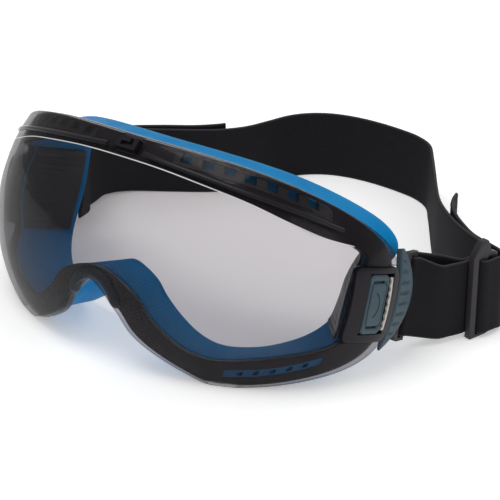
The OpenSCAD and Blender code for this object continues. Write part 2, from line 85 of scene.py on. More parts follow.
# The seal's face edge: [x, height, forward]
FACE_EDGE = [[0, 37.6, 0], [18, 37.4, 0], [35, 36.4, 0], [50.5, 34.2, 0], [64, 30.2, 0], [74.5, 25.2, 0],
             [80, 20, 0], [81.6, 14.5, 0], [79.4, 8.2, 0], [77.4, 0, 0.5], [77, -9, 2], [75.6, -17.5, 3.5],
             [69.5, -25, 4], [59.5, -31, 3], [49, -34.6, 1.5], [38, -36, 0.5], [28.5, -33.5, 0.5],
             [20.5, -28, 2], [14.5, -21, 5], [10, -14, 8], [0, -9, 10.6]]
SEAL_FACE_Y = -25.0
FACE_CURVE = 190.0
# The seal's lip and crest are the face edge drawn in: [share across, share up, distance back]
LIP = (0.83, 0.84, 0.5)
CREST = (0.985, 0.985, 0)

# Lines on the lens's skin: [degrees round the lens, height]
UPPER_VENT = [[14, 34.5], [28, 33.8], [42, 32.1], [56, 29], [64, 26.4]]
LOWER_VENT = [[40, -36.4], [50, -33.5], [57, -31], [70, -25.2]]
BROW_RAIL = [[6, 33.6], [25, 31.3], [40.6, 28.6], [52, 26.2], [66, 22.6]]
SADDLE = [[-7.6, -21.5], [-6, -17], [-3.6, -13], [0, -11.3], [3.6, -13], [6, -17], [7.6, -21.5]]
SADDLE_R = 2.4
SADDLE_DEPTH = 3.0
# A temple liner's ends are counted in points along the half outlines
LINER = {"from": 6.5, "to": 11, "reach": 0.84, "offset": 0.35, "thick": 0.8}

# The clip surround, in degrees round the lens and in height
CLIP = {"from": 71.2, "to": 91.5, "low": -16.5, "high": 11.0}
LATCH_DEG = 81.5
LATCH_Z = -2.2
LATCH_TURN = math.radians(11.5)
LATCH_W = 9.4
LATCH_H = 21.5
LATCH_GAP = 0.4
LATCH_SLOT = 2.6
LATCH_PROUD = 0.4
CATCH_HALF_WIDTH = 4.8
CATCH_LOW = 31.7
# Room inside a side panel for the terminal to swing in
SWING_R = 22.8
SWING_X = 83.75


def inset(z):
    return BULGE_R - np.sqrt(BULGE_R ** 2 - z * z)


def skin(line, depth):
    """Points on a surface that lies depth below the lens's outer skin."""
    line = np.asarray(line, float)
    t = np.radians(line[..., 0])
    z = line[..., 1]
    return np.stack([(LENS_HALF_WIDTH - inset(z) - depth) * np.sin(t),
                     -(LENS_DEPTH - inset(z) - depth) * np.cos(t), z + 0 * t], -1)


def catmull(points, sub, closed=False):
    """A smooth curve through the points, with sub steps between each pair."""
    p = np.asarray(points, float)
    if closed:
        p = np.vstack([p[-1], p, p[:2]])
    else:
        p = np.vstack([2 * p[0] - p[1], p, 2 * p[-1] - p[-2]])
    out = []
    for a, b, c, d in zip(p[:-3], p[1:-2], p[2:-1], p[3:]):
        for k in range(sub):
            t = k / sub
            out.append(0.5 * (2 * b + (c - a) * t + (2 * a - 5 * b + 4 * c - d) * t * t
                              + (3 * b - a - 3 * c + d) * t ** 3))
    if not closed:
        out.append(p[-2])
    return np.array(out)


def outline(half, sub=8):
    half = np.asarray(half, float)
    mirrored = np.vstack([half, half[-2:0:-1] * ([-1] + [1] * (half.shape[1] - 1))])
    return catmull(mirrored, sub, closed=True)


def lean(p):
    """Leans worn points back by the rest tilt."""
    p = np.asarray(p, float)
    c, s = math.cos(REST_TILT), math.sin(REST_TILT)
    return np.stack([p[..., 0], c * p[..., 1] + s * p[..., 2], c * p[..., 2] - s * p[..., 1]], -1)


def middle(node):
    low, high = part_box(node)
    return (np.array(low) + np.array(high)) / 2 / MM


# The pivot pins say where the frame's goggles lie
PIVOT = middle("pivot_pin_left") * [0, 1, 1]
SHIFT = PIVOT - lean([0, *PIVOT_WORN])
TABLE_SHIFT = np.array([0, SHIFT[1], 0])


def on_table(p):
    return lean(p) + SHIFT


# ---------------------------------------------------------------- mesh helpers

def make(name, points, faces, material, smooth=True):
    mesh = bpy.data.meshes.new(name)
    mesh.from_pydata([tuple(v) for v in np.asarray(points) * MM], [], faces)
    mesh.validate()
    mesh.update()
    obj = bpy.data.objects.new(name, mesh)
    bpy.context.scene.collection.objects.link(obj)
    if material:
        mesh.materials.append(material)
    for polygon in mesh.polygons:
        polygon.use_smooth = smooth
    return obj


def loft(name, loops, material, ring=False):
    """Joins loops of equal length with quads; a ring joins the last loop to the first."""
    loops = np.asarray(loops, float)
    m, n = loops.shape[:2]
    faces = []
    for i in range(m if ring else m - 1):
        for j in range(n):
            k = (j + 1) % n
            i2 = (i + 1) % m
            faces.append([i * n + j, i2 * n + j, i2 * n + k, i * n + k])
    if not ring:
        faces.append(list(range(n)))
        faces.append([(m - 1) * n + j for j in range(n - 1, -1, -1)])
    return make(name, loops.reshape(-1, 3), faces, material)


def outward(obj):
    """Turns every face outwards."""
    bm = bmesh.new()
    bm.from_mesh(obj.data)
    bmesh.ops.recalc_face_normals(bm, faces=bm.faces)
    bm.to_mesh(obj.data)
    bm.free()
    return obj


def bake_modifiers(obj):
    graph = bpy.context.evaluated_depsgraph_get()
    mesh = bpy.data.meshes.new_from_object(obj.evaluated_get(graph))
    obj.modifiers.clear()
    obj.data = mesh
    return obj


def cut(obj, *cutters):
    for cutter in cutters:
        modifier = obj.modifiers.new("cut", "BOOLEAN")
        modifier.solver = "EXACT"
        modifier.operation = "DIFFERENCE"
        modifier.object = cutter
        bake_modifiers(obj)
        bpy.data.objects.remove(cutter)
    return obj


def bevel(obj, width, segments=2, angle=35):
    modifier = obj.modifiers.new("bevel", "BEVEL")
    modifier.width = width * MM
    modifier.segments = segments
    modifier.limit_method = "ANGLE"
    modifier.angle_limit = math.radians(angle)
    modifier.harden_normals = False
    return bake_modifiers(obj)


def subdivide(obj, levels=1):
    modifier = obj.modifiers.new("subdivide", "SUBSURF")
    modifier.levels = levels
    return bake_modifiers(obj)


def split_sharp(obj, angle=40):
    """Flat-looking corners, smooth curves."""
    obj.data.set_sharp_from_angle(angle=math.radians(angle))
    return obj


def block(low, high, place):
    """A closed box whose corners are put through place()."""
    (x0, y0, z0), (x1, y1, z1) = low, high
    corners = [(x, y, z) for z in (z0, z1) for y in (y0, y1) for x in (x0, x1)]
    faces = [[0, 2, 3, 1], [4, 5, 7, 6], [0, 1, 5, 4], [2, 6, 7, 3], [0, 4, 6, 2], [1, 3, 7, 5]]
    return outward(make("cutter", place(np.array(corners, float)), faces, None, smooth=False))


def mirror(side):
    return np.array([SIDES[side], 1, 1])


def strip_loops(line, h, front, back, step=1.2):
    line = np.asarray(line, float)
    t = np.linspace(line[0, 0], line[-1, 0], max(2, int((line[-1, 0] - line[0, 0]) / step)))
    z = np.interp(t, line[:, 0], line[:, 1])
    rows = [(-0.5, front), (0, front), (0.5, front), (0.5, back), (0, back), (-0.5, back)]
    return np.stack([skin(np.stack([t, z + k * h], -1), d) for k, d in rows], 1)


def from_latch(p):
    """Latch directions (x outwards, y back, z up) to worn directions."""
    c, s = math.cos(LATCH_TURN), math.sin(LATCH_TURN)
    origin = skin([LATCH_DEG, LATCH_Z], 0)
    return origin + np.stack([c * p[..., 0] + s * p[..., 1], c * p[..., 1] - s * p[..., 0], p[..., 2]], -1)


def latch_window(side):
    return block((-9, -LATCH_W / 2 - LATCH_GAP, -LATCH_H / 2 - LATCH_GAP),
                 (9, LATCH_W / 2 + LATCH_SLOT, LATCH_H / 2 + LATCH_GAP),
                 lambda p: on_table(from_latch(p) * mirror(side)))


def finish_piece(obj, body, *nodes, slot=None):
    outward(obj)
    for vertex in obj.data.vertices:
        vertex.co.z = max(vertex.co.z, 0)
    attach(obj, body)
    if nodes:
        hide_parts(*nodes)
    return obj


# ---------------------------------------------------------------- materials

class Shader:
    """A Principled material with short ways to add noise, bump and ramps."""

    def __init__(self, name, colour, roughness, **sockets):
        self.material = bpy.data.materials.new(name)
        self.material.use_nodes = True
        self.tree = self.material.node_tree
        self.bsdf = self.tree.nodes["Principled BSDF"]
        self.bsdf.inputs["Base Color"].default_value = (*colour, 1)
        self.bsdf.inputs["Roughness"].default_value = roughness
        for socket, value in sockets.items():
            self.bsdf.inputs[socket.replace("_", " ")].default_value = value

    def node(self, kind, **settings):
        node = self.tree.nodes.new(kind)
        for key, value in settings.items():
            if key in node.inputs:
                node.inputs[key].default_value = value
            else:
                setattr(node, key, value)
        return node

    def link(self, a, b):
        self.tree.links.new(a, b)

    def noise(self, scale, detail=4.0):
        place = self.node("ShaderNodeTexCoord")
        noise = self.node("ShaderNodeTexNoise", Scale=scale, Detail=detail)
        self.link(place.outputs["Object"], noise.inputs["Vector"])
        return noise.outputs["Fac"]

    def remap(self, value, low, high, from_low=0.3, from_high=0.7):
        node = self.node("ShaderNodeMapRange")
        limits = {"From Min": from_low, "From Max": from_high, "To Min": low, "To Max": high}
        for key, number in limits.items():
            node.inputs[key].default_value = number
        self.link(value, node.inputs["Value"])
        return node.outputs["Result"]

    def blend(self, factor, a, b):
        node = self.node("ShaderNodeMix", data_type="RGBA")
        node.inputs["A"].default_value = (*a, 1)
        node.inputs["B"].default_value = (*b, 1)
        self.link(factor, node.inputs["Factor"])
        return node.outputs["Result"]

    def vary_colour(self, scale, a, b):
        self.link(self.blend(self.remap(self.noise(scale), 0, 1), a, b), self.bsdf.inputs["Base Color"])

    def vary_roughness(self, scale, low, high):
        self.link(self.remap(self.noise(scale, 6.0), low, high), self.bsdf.inputs["Roughness"])

    def bump(self, height, strength, distance=0.0001):
        node = self.node("ShaderNodeBump", Strength=strength, Distance=distance)
        self.link(height, node.inputs["Height"])
        self.link(node.outputs["Normal"], self.bsdf.inputs["Normal"])


# How far the darker colour of a moulded piece is drawn towards the lighter one
CALM = 0.35
FINE_GRAIN = 2600


def moulded(name, dark, light, rough=(0.3, 0.42), grain=0.15, scale=90, **sockets):
    """Moulded plastic or elastomer with faint flow marks and a fine grain."""
    s = Shader(name, dark, rough[0], **sockets)
    start = [(1 - CALM) * a + CALM * b for a, b in zip(dark, light)]
    s.vary_colour(scale, start, light)
    s.vary_roughness(scale * 3, *rough)
    s.bump(s.noise(FINE_GRAIN, 3.0), grain)
    return s.material


def lens_material():
    """Clear smoke tint, darker where the lens is seen edge on, under a thin gloss."""
    s = Shader("smoke_polycarbonate", (0.012, 0.0115, 0.0125), 0.03, Specular_IOR_Level=0.8)
    s.bsdf.inputs["IOR"].default_value = 1.58
    facing = s.node("ShaderNodeLayerWeight", Blend=0.3).outputs["Facing"]
    clear = s.node("ShaderNodeBsdfTransparent")
    s.link(s.blend(s.remap(facing, 0, 1, 0.15, 0.95), (0.78, 0.762, 0.772), (0.42, 0.41, 0.43)),
           clear.inputs["Color"])
    mix = s.node("ShaderNodeMixShader")
    s.link(s.remap(facing, 0.05, 0.5, 0.1, 0.95), mix.inputs["Fac"])
    s.link(clear.outputs["BSDF"], mix.inputs[1])
    s.link(s.bsdf.outputs["BSDF"], mix.inputs[2])
    s.link(mix.outputs["Shader"], s.tree.nodes["Material Output"].inputs["Surface"])
    return s.material


def webbing_material():
    s = Shader("polyester_twill", (0.008, 0.0075, 0.01), 0.8, Specular_IOR_Level=0.2)
    uv = s.node("ShaderNodeUVMap", uv_map="weave")
    mapping = s.node("ShaderNodeMapping")
    mapping.inputs["Rotation"].default_value = (0, 0, math.radians(52))
    s.link(uv.outputs["UV"], mapping.inputs["Vector"])
    twill = s.node("ShaderNodeTexWave", Scale=0.36, Distortion=0.15)
    s.link(mapping.outputs["Vector"], twill.inputs["Vector"])
    yarn = s.node("ShaderNodeTexWave", Scale=0.62, bands_direction="Y")
    s.link(uv.outputs["UV"], yarn.inputs["Vector"])
    mix = s.node("ShaderNodeMath", operation="MULTIPLY")
    s.link(twill.outputs["Fac"], mix.inputs[0])
    s.link(s.remap(yarn.outputs["Fac"], 0.6, 1.0, 0, 1), mix.inputs[1])
    split = s.node("ShaderNodeSeparateXYZ")
    s.link(uv.outputs["UV"], split.inputs["Vector"])
    across = s.node("ShaderNodeMath", operation="ABSOLUTE")
    s.link(split.outputs["Y"], across.inputs[0])
    edge = s.remap(across.outputs["Value"], 0, 1, 14.2, 15.0)
    cloth = s.node("ShaderNodeMix", data_type="RGBA")
    cloth.inputs["B"].default_value = (0.045, 0.042, 0.047, 1)
    s.link(s.blend(mix.outputs["Value"], (0.004, 0.0036, 0.0055), (0.011, 0.01, 0.0125)), cloth.inputs["A"])
    s.link(edge, cloth.inputs["Factor"])
    s.link(cloth.outputs["Result"], s.bsdf.inputs["Base Color"])
    s.bump(mix.outputs["Value"], 0.5, 0.0002)
    return s.material


LENS = lens_material()
FRAME = moulded("frame_anthracite", (0.020, 0.018, 0.022), (0.032, 0.029, 0.034), (0.2, 0.28), 0.02,
                Specular_IOR_Level=0.25)
SEAL = moulded("seal_elastomer", (0.0, 0.18, 0.43), (0.0, 0.21, 0.49), (0.4, 0.5), 0.06, 60,
               Specular_IOR_Level=0.05)
SADDLE_SKIN = moulded("saddle_elastomer", (0.008, 0.014, 0.022), (0.014, 0.022, 0.032), (0.3, 0.42), 0.1,
                      Specular_IOR_Level=0.25)
SLATE = moulded("slate_plastic", (0.035, 0.06, 0.08), (0.05, 0.08, 0.1), (0.36, 0.48), 0.15,
                Specular_IOR_Level=0.2)
GLOSS = moulded("gloss_black_plastic", (0.009, 0.008, 0.011), (0.014, 0.012, 0.016), (0.1, 0.14), 0,
                Specular_IOR_Level=0.15)
VENT_DARK = moulded("vent_dark_plastic", (0.022, 0.02, 0.022), (0.035, 0.032, 0.035), (0.35, 0.5), 0.2)
VENT_BLUE = moulded("vent_blue_plastic", (0.0, 0.14, 0.34), (0.0, 0.18, 0.42), (0.35, 0.5), 0.2)
HARDWARE = moulded("satin_black_plastic", (0.02, 0.018, 0.021), (0.03, 0.027, 0.031), (0.34, 0.46), 0.15,
                   Specular_IOR_Level=0.25)
LINER_DARK = moulded("liner_plastic", (0.016, 0.017, 0.021), (0.024, 0.025, 0.03), (0.35, 0.5), 0.15)
PALE = moulded("pale_plastic", (0.42, 0.39, 0.35), (0.5, 0.47, 0.42), (0.4, 0.5), 0.1)
# A pale colour that paints the highlight along the lens's step above the clear view
LENS_HIGHLIGHT_PAINT = moulded("painted_lens_highlight", (0.6, 0.6, 0.61), (0.68, 0.68, 0.69), (0.15, 0.2), 0)
WEBBING = webbing_material()

# ---------------------------------------------------------------- camera, floor and light

AZIMUTH = math.radians(37.8)
ELEVATION = math.radians(25.4)
DISTANCE = 622.9
TARGET_HEIGHT = 29.1
TARGET_RIGHT = 19.5
TARGET_UP = -6.4
SENSOR_WIDTH = 36
FOCAL_LENGTH = 118.2
FLOOR_HALF = 3000


def add_camera():
    forward = np.array([-math.sin(AZIMUTH) * math.cos(ELEVATION), math.cos(AZIMUTH) * math.cos(ELEVATION),
                        -math.sin(ELEVATION)])
    right = np.array([math.cos(AZIMUTH), math.sin(AZIMUTH), 0])
    up = np.cross(right, forward)
    target = np.array([0, 0, TARGET_HEIGHT]) + TABLE_SHIFT + right * TARGET_RIGHT + up * TARGET_UP
    data = bpy.data.cameras.new("camera")
    data.sensor_width = SENSOR_WIDTH
    data.lens = FOCAL_LENGTH
    data.clip_start = 0.01
    camera = bpy.data.objects.new("camera", data)
    camera.location = Vector((target - forward * DISTANCE) * MM)
    camera.rotation_euler = (math.pi / 2 - ELEVATION, 0, AZIMUTH)
    bpy.context.scene.collection.objects.link(camera)
    bpy.context.scene.camera = camera


def add_light(name, place, aim, size, power, colour=(1, 1, 1)):
    data = bpy.data.lights.new(name, "AREA")
    data.shape = "RECTANGLE"
    data.size, data.size_y = size
    data.energy = power
    data.color = colour
    light = bpy.data.objects.new(name, data)
    light.location = place
    light.rotation_euler = (Vector(aim) - Vector(place)).to_track_quat("-Z", "Y").to_euler()
    bpy.context.scene.collection.objects.link(light)


def add_stage():
    white = moulded("floor_white", (0.9, 0.9, 0.9), (0.92, 0.92, 0.92), (0.8, 0.9), 0,
                    Specular_IOR_Level=0, Emission_Color=(1, 1, 1, 1), Emission_Strength=0.32)
    corners = [(x * FLOOR_HALF, y * FLOOR_HALF, 0) for x, y in ((-1, -1), (1, -1), (1, 1), (-1, 1))]
    floor = make("floor", corners, [[0, 1, 2, 3]], white)
    world = bpy.data.worlds.new("studio")
    world.use_nodes = True
    world.node_tree.nodes["Background"].inputs["Color"].default_value = (1, 1, 1, 1)
    world.node_tree.nodes["Background"].inputs["Strength"].default_value = 0.5
    bpy.context.scene.world = world
    bpy.context.scene.view_settings.view_transform = "Standard"
    add_light("key", (-0.12, -0.3, 1.1), (0, 0, 0.03), (0.7, 0.5), 4.5)
    add_light("fill", (0.9, -0.35, 0.45), (0.02, 0, 0.03), (0.5, 0.7), 1.2)
    add_light("back", (0.2, 0.9, 0.7), (0, 0, 0.03), (0.9, 0.4), 2)


# ---------------------------------------------------------------- lens, frame and seal

def between(k):
    """The outline a share k of the way from the rim to the aperture."""
    return outline(RIM) * (1 - k) + outline(APERTURE) * k


def shrunk(k):
    """The aperture's outline drawn in towards the middle of the lens."""
    o = outline(APERTURE)
    return np.stack([k * o[:, 0], RING_CENTRE_Z + k * (o[:, 1] - RING_CENTRE_Z)], -1)


def add_lens():
    edge_round, clip_gap = 0.35, 0.3
    inner_shares = [0.02, 0.12, 0.24, 0.36, 0.48, 0.6, 0.7, 0.8, 0.9, 0.96]
    lines = [shrunk(k) for k in inner_shares] + [between(k) for k in (1, 0.8, 0.6, 0.4, 0.2, 0.08, 0.02)]
    back = [skin(o, LENS_T) for o in lines]
    edge = [skin(between(0), LENS_T - edge_round), skin(between(0), edge_round)]
    front = [skin(o, 0) for o in reversed(lines)]
    obj = loft("lens_shell", [on_table(line) for line in back + edge + front], LENS)
    y_from = float(skin([CLIP["from"] - 0.4, 0], 0)[1])
    outward(obj)
    for side in SIDES:
        cut(obj, block((68, y_from, CLIP["low"] - clip_gap), (96, 20, CLIP["high"] + clip_gap),
                       lambda p: on_table(p * mirror(side))))
    cut(obj, block((-CATCH_HALF_WIDTH, -70, CATCH_LOW), (CATCH_HALF_WIDTH, -30, 60), on_table))
    split_sharp(obj)
    finish_piece(obj, "goggles", "lens", slot="lens_smoke")


def add_frame():
    # Section of the ring: [share of the way from the rim to the aperture, depth]
    f, b = FRAME_FRONT, FRAME_BACK
    section = [(0.02, b), (0, b - 0.4), (0, f + 0.4), (0.02, f), (0.1, f), (0.3, f), (0.5, f), (0.7, f),
               (0.9, f), (0.98, f + 0.05), (1.0, f + 0.5), (1.0, b - 0.5), (0.98, b), (0.7, b), (0.4, b),
               (0.1, b)]
    obj = loft("frame_ring", [on_table(skin(between(k), d)) for k, d in section], FRAME, ring=True)
    outward(obj)
    for side in SIDES:
        cut(obj, latch_window(side))
        for line, high in ((UPPER_VENT, 3.9), (LOWER_VENT, 3.5)):
            slot = strip_loops(line, high, 0.5, 7)
            cut(obj, outward(loft("cutter", on_table(slot * mirror(side)), None)))
    split_sharp(obj)
    finish_piece(obj, "goggles", "frame", slot="frame_dark")


def face_loop(kx, kz, back, sub=4):
    o = outline(FACE_EDGE, sub)
    h = o[:, 1] - RING_CENTRE_Z
    return np.stack([kx * o[:, 0], SEAL_FACE_Y + o[:, 0] ** 2 / FACE_CURVE + back - o[:, 2],
                     RING_CENTRE_Z + h * np.where(h < 0, (1 + kz) / 2, kz)], -1)


def add_seal():
    outer = skin(outline(SEAL_FRONT, 4), SEAL_FRONT_DEPTH)
    inner = skin(outline(APERTURE, 4), SEAL_FRONT_DEPTH)
    edge = face_loop(1, 1, -1.5)
    lip = face_loop(*LIP)
    crest = face_loop(*CREST)

    def mix(a, b, t):
        return a * (1 - t) + b * t

    waist = mix(outer, edge, 0.5) + (mix(inner, lip, 0.5) - mix(outer, edge, 0.5)) * 0.1
    loops = [crest, edge, mix(edge, waist, 0.25), waist, mix(outer, waist, 0.2), outer,
             mix(outer, inner, 0.04), mix(outer, inner, 0.96), inner, mix(inner, lip, 0.06),
             mix(inner, lip, 0.5), mix(inner, lip, 0.9), lip, mix(lip, crest, 0.12), mix(lip, crest, 0.85)]
    obj = loft("seal_skin", [on_table(line) for line in loops], SEAL, ring=True)
    subdivide(outward(obj), 1)
    finish_piece(obj, "goggles", "face_seal", slot="seal_blue")


def add_liner(side):
    """The dark wall inside a temple, with fine level ribs."""
    sub, rib_depth, rib_step, rib_fade = 30, 0.45, 2.3, 0.8
    span = slice(int(LINER["from"] * sub), int(LINER["to"] * sub) + 1)
    front = skin(outline(APERTURE, sub), SEAL_FRONT_DEPTH)[span]
    back = face_loop(*LIP, sub)[span]

    def wall(share, offset):
        p = front * (1 - share) + back * share
        rib = rib_depth * np.clip(np.cos(2 * math.pi * p[:, 2] / rib_step), 0, 1) ** 3
        rib *= math.sin(math.pi * min(share, rib_fade) / rib_fade)
        inwards = p * [1, 0, 1] - [0, 0, RING_CENTRE_Z]
        inwards /= np.linalg.norm(inwards, axis=1)[:, None]
        return p - (offset + (rib[:, None] if offset > 0.5 else 0)) * inwards

    shares = 0.03 + LINER["reach"] * np.linspace(0, 1, 14)
    rows = [wall(k, LINER["offset"]) for k in shares]
    rows += [wall(k, LINER["offset"] + LINER["thick"]) for k in reversed(shares)]
    obj = loft("liner_wall_" + side, on_table(np.stack(rows, 1) * mirror(side)), LINER_DARK)
    split_sharp(obj, 60)
    finish_piece(obj, "goggles", "temple_liner_" + side, slot="frame_dark")


def tube(name, path, radius, material, place, sides=20):
    """A round roll along a path, with domed ends."""
    path = np.asarray(path, float)
    n = len(path)
    loops = []
    for i in range(n):
        t = path[min(i + 1, n - 1)] - path[max(i - 1, 0)]
        t /= np.linalg.norm(t)
        u = np.cross([0, -1, 0], t)
        u /= np.linalg.norm(u)
        w = np.cross(t, u)
        end = min(i, n - 1 - i)
        r = radius * (1 if end > 2 else (0.35, 0.75, 0.93)[end])
        angles = np.linspace(0, 2 * math.pi, sides, endpoint=False)
        loops.append(path[i] + r * (np.outer(np.cos(angles), w) + np.outer(np.sin(angles), u)))
    return loft(name, place(np.array(loops)), material)


def add_saddle():
    path = skin(catmull(SADDLE, 6), SADDLE_DEPTH)
    obj = tube("saddle_roll", path, SADDLE_R, SADDLE_SKIN, on_table)
    finish_piece(obj, "goggles", "nose_saddle", slot="saddle_dark")


def add_brow():
    for side in SIDES:
        line = np.array(BROW_RAIL, float)
        t = np.linspace(line[0, 0], line[-1, 0], 60)
        z = np.interp(t, *catmull(line, 6).T)
        loops = []
        for k, d in ((-0.85, -0.1), (-0.8, -0.55), (-0.35, -0.9), (0.35, -0.9), (0.8, -0.55), (0.85, -0.1)):
            loops.append(skin(np.stack([t, z + k], -1), d))
        obj = loft("brow_line_" + side, on_table(np.stack(loops, 1) * mirror(side)), GLOSS)
        split_sharp(obj, 50)
        finish_piece(obj, "goggles", "brow_rail_" + side, slot="gloss_black")


def add_painted_highlight_line():
    """Thin pale strip in the lens along the top of the clear view: a painted highlight where the lens's step
    catches the light.
    """
    above, half, proud, sunk = 0.5, 0.16, -0.14, 0.2
    top = np.array(APERTURE[:7], float)
    line = catmull(np.vstack([top[:0:-1] * [-1, 1], top]), 12)
    line[:, 1] += above
    rows = [(-half, sunk), (-half, proud), (half, proud), (half, sunk)]
    loops = np.stack([skin(line + [0, h], depth) for h, depth in rows], 1)
    obj = loft("painted_highlight_line", on_table(loops), LENS_HIGHLIGHT_PAINT)
    split_sharp(obj, 50)
    finish_piece(obj, "goggles", slot="lens_smoke")


# ---------------------------------------------------------------- temples

def add_clip(side):
    t = np.linspace(CLIP["from"], CLIP["to"], 60)
    low, high, corner = CLIP["low"], CLIP["high"], 3.0
    loops = []
    for a in t:
        near = min(a - CLIP["from"], CLIP["to"] - a) * 1.1
        trim = corner - math.sqrt(max(0, corner ** 2 - (corner - near) ** 2)) if near < corner else 0
        z = np.linspace(low + trim, high - trim, 28)
        loops.append(np.vstack([skin(np.stack([0 * z + a, z], -1), -0.4),
                                skin(np.stack([0 * z + a, z[::-1]], -1), LENS_T + 0.1)]))
    obj = outward(loft("clip_surround_" + side, on_table(np.array(loops) * mirror(side)), GLOSS))
    cut(obj, latch_window(side))
    bevel(obj, 0.3)
    split_sharp(obj)
    finish_piece(obj, "goggles", "clip_bezel_" + side, slot="gloss_black")
    add_rack(side)


def add_rack(side):
    """Pale serrated strip in the slot behind the latch."""
    half, tooth_step, tooth_depth, front, back = 9.6, 2.7, 0.6, LATCH_W / 2 + 1.15, 7.1
    z = np.linspace(-half, half, 85)
    tooth = np.abs((z / tooth_step) % 1 - 0.5) * 2
    loops = []
    for height, k in zip(z, tooth):
        y = front + tooth_depth * k
        bulge = -height * height / (2 * BULGE_R)
        corners = ((-0.9, y), (-0.1, y), (-0.1, back), (-0.9, back))
        loops.append([(x + bulge, corner_y, height) for x, corner_y in corners])
    obj = loft("rack_strip_" + side, on_table(from_latch(np.array(loops)) * mirror(side)), PALE)
    split_sharp(obj, 30)
    finish_piece(obj, "goggles", slot="gloss_black")


def rounded_rectangle(w, h, r, steps=8):
    points = []
    for cx, cy, start in ((1, 1, 0), (-1, 1, 90), (-1, -1, 180), (1, -1, 270)):
        for k in range(steps + 1):
            a = math.radians(start + 90 * k / steps)
            points.append((cx * (w / 2 - r) + r * math.cos(a), cy * (h / 2 - r) + r * math.sin(a)))
    return np.array(points)


def add_latch(side):
    outer = rounded_rectangle(LATCH_W, LATCH_H, 2.0)
    # Section of the plate: [share of its outline, how far it stands out]
    rows = [(0.02, 0.02), (0.3, 0.05), (0.55, 0.1), (0.66, 0.12), (0.7, 0.0), (0.73, -0.45), (0.78, -0.5),
            (0.82, -0.1), (0.86, 0.05), (0.95, 0.05), (0.99, -0.15), (1.0, -0.5), (1.0, -2.3), (0.97, -2.6),
            (0.5, -2.6), (0.02, -2.6)]
    loops = []
    for k, proud in rows:
        y, z = (outer * k).T
        loops.append(np.stack([LATCH_PROUD + proud - z * z / (2 * BULGE_R), y, z], -1))
    obj = outward(loft("latch_plate_" + side, on_table(from_latch(np.array(loops)) * mirror(side)), SLATE))
    slot_in, slot_half = 2.6, 0.45
    for end in (-1, 1):
        slot_z = end * (LATCH_H / 2 - slot_in)
        cut(obj, block((-1.4, 2 - LATCH_W / 2, slot_z - slot_half), (6, LATCH_W / 2 - 2, slot_z + slot_half),
                       lambda p: on_table(from_latch(p) * mirror(side))))
    # A curved finger groove: part of an oval, cut between two radii
    dish_y, low, high = -2.6, -0.25, 2
    dish = []
    for a in np.linspace(-1.15, 1.15, 25):
        corners = ((5.6, low), (5.6, high), (6.2, high), (6.2, low))
        dish.append([(x, dish_y + r * math.cos(a) * 0.62, r * math.sin(a) * 0.82) for r, x in corners])
    cut(obj, outward(loft("cutter", on_table(from_latch(np.array(dish)) * mirror(side)), None)))
    split_sharp(obj, 40)
    finish_piece(obj, "latch_" + side, "latch_" + side, slot="slate")


def add_panel(side):
    """A curved cover with a fan of fine grooves, hollowed where the strap terminal swings."""
    centre_x = LENS_HALF_WIDTH - BULGE_R
    front, thickness, z_low, z_high = 3.5, 2.4, -21.0, 17.0
    step, grooves, width, depth, fan_centre = 3.36, 9, 0.62, 0.7, -2.4
    phi = np.linspace(math.asin(z_low / BULGE_R), math.asin(z_high / BULGE_R), 220)
    z = BULGE_R * np.sin(phi)
    # The back edge is an arc whose centre lies in front of the panel
    arc_y, arc_z, arc_r = -9.8, -1.5, 23.8
    back = arc_y + np.sqrt(arc_r ** 2 - (z - arc_z) ** 2)
    centres = [math.radians(fan_centre + (i - (grooves - 1) / 2) * step) for i in range(grooves)]
    groove = sum(np.exp(-(((phi - c) * BULGE_R) / width) ** 2) for c in centres)
    outer, inner = [], []
    for share in np.linspace(0, 1, 14):
        y = front + (back - front) * share
        open_end = np.clip((y - front - 1.1) / 0.8, 0, 1) * np.clip((back - 2.4 - y) / 1.2, 0, 1)
        round_off = 0.6 * np.clip(1 - share * 8, 0, 1) ** 2 + 0.9 * np.clip((share - 0.86) / 0.14, 0, 1) ** 2
        r = BULGE_R - depth * groove * open_end - round_off
        outer.append(np.stack([centre_x + r * np.cos(phi), y, r * np.sin(phi)], -1))
        r = BULGE_R - thickness
        x = centre_x + r * np.cos(phi)
        reach = np.hypot(y - PIVOT_WORN[0], r * np.sin(phi) - PIVOT_WORN[1])
        x = x + np.maximum(SWING_X - x, 0) * np.clip((SWING_R - reach) / 0.2, 0, 1)
        inner.append(np.stack([x, y, r * np.sin(phi)], -1))
    loops = np.array(outer + inner[::-1])
    obj = loft("panel_cover_" + side, on_table(loops.transpose(1, 0, 2) * mirror(side)), SLATE)
    split_sharp(obj, 60)
    finish_piece(obj, "goggles", "side_panel_" + side, slot="slate")


# ---------------------------------------------------------------- headband

STRAP_W = 30.0
STRAP_T = 1.5
SLIDER_AT = (99.0, 42.8)
FLARE = math.radians(14)
SLIDER_LOW = 1.7
LAYER = 2.5
INNER_LAYER = 4.3
BEND = 2.3
TILT = math.radians(14)
BAR_REACH = 11.0
BAR_DROP = 2.0
BAR_X = 82.3
BAR_YZ = ((PIVOT - TABLE_SHIFT)[1:] + BAR_REACH * np.array([math.cos(TILT), -math.sin(TILT)])
          - BAR_DROP * np.array([math.sin(TILT), math.cos(TILT)]))
BAR_LOW = BAR_YZ[1] - STRAP_W / 2 * math.cos(TILT)


def at_slider(s, t, low=SLIDER_LOW):
    return [SLIDER_AT[0] + s * math.sin(FLARE) + t * math.cos(FLARE),
            SLIDER_AT[1] + s * math.cos(FLARE) - t * math.sin(FLARE), low, 0]


def at_bar(dx, dy):
    return [BAR_X + dx, BAR_YZ[0] + dy * math.cos(TILT), BAR_LOW - dy * math.sin(TILT), TILT]


def toward_bar(x, y, share):
    return [x, y, SLIDER_LOW * (1 - share) + BAR_LOW * share, TILT * share]


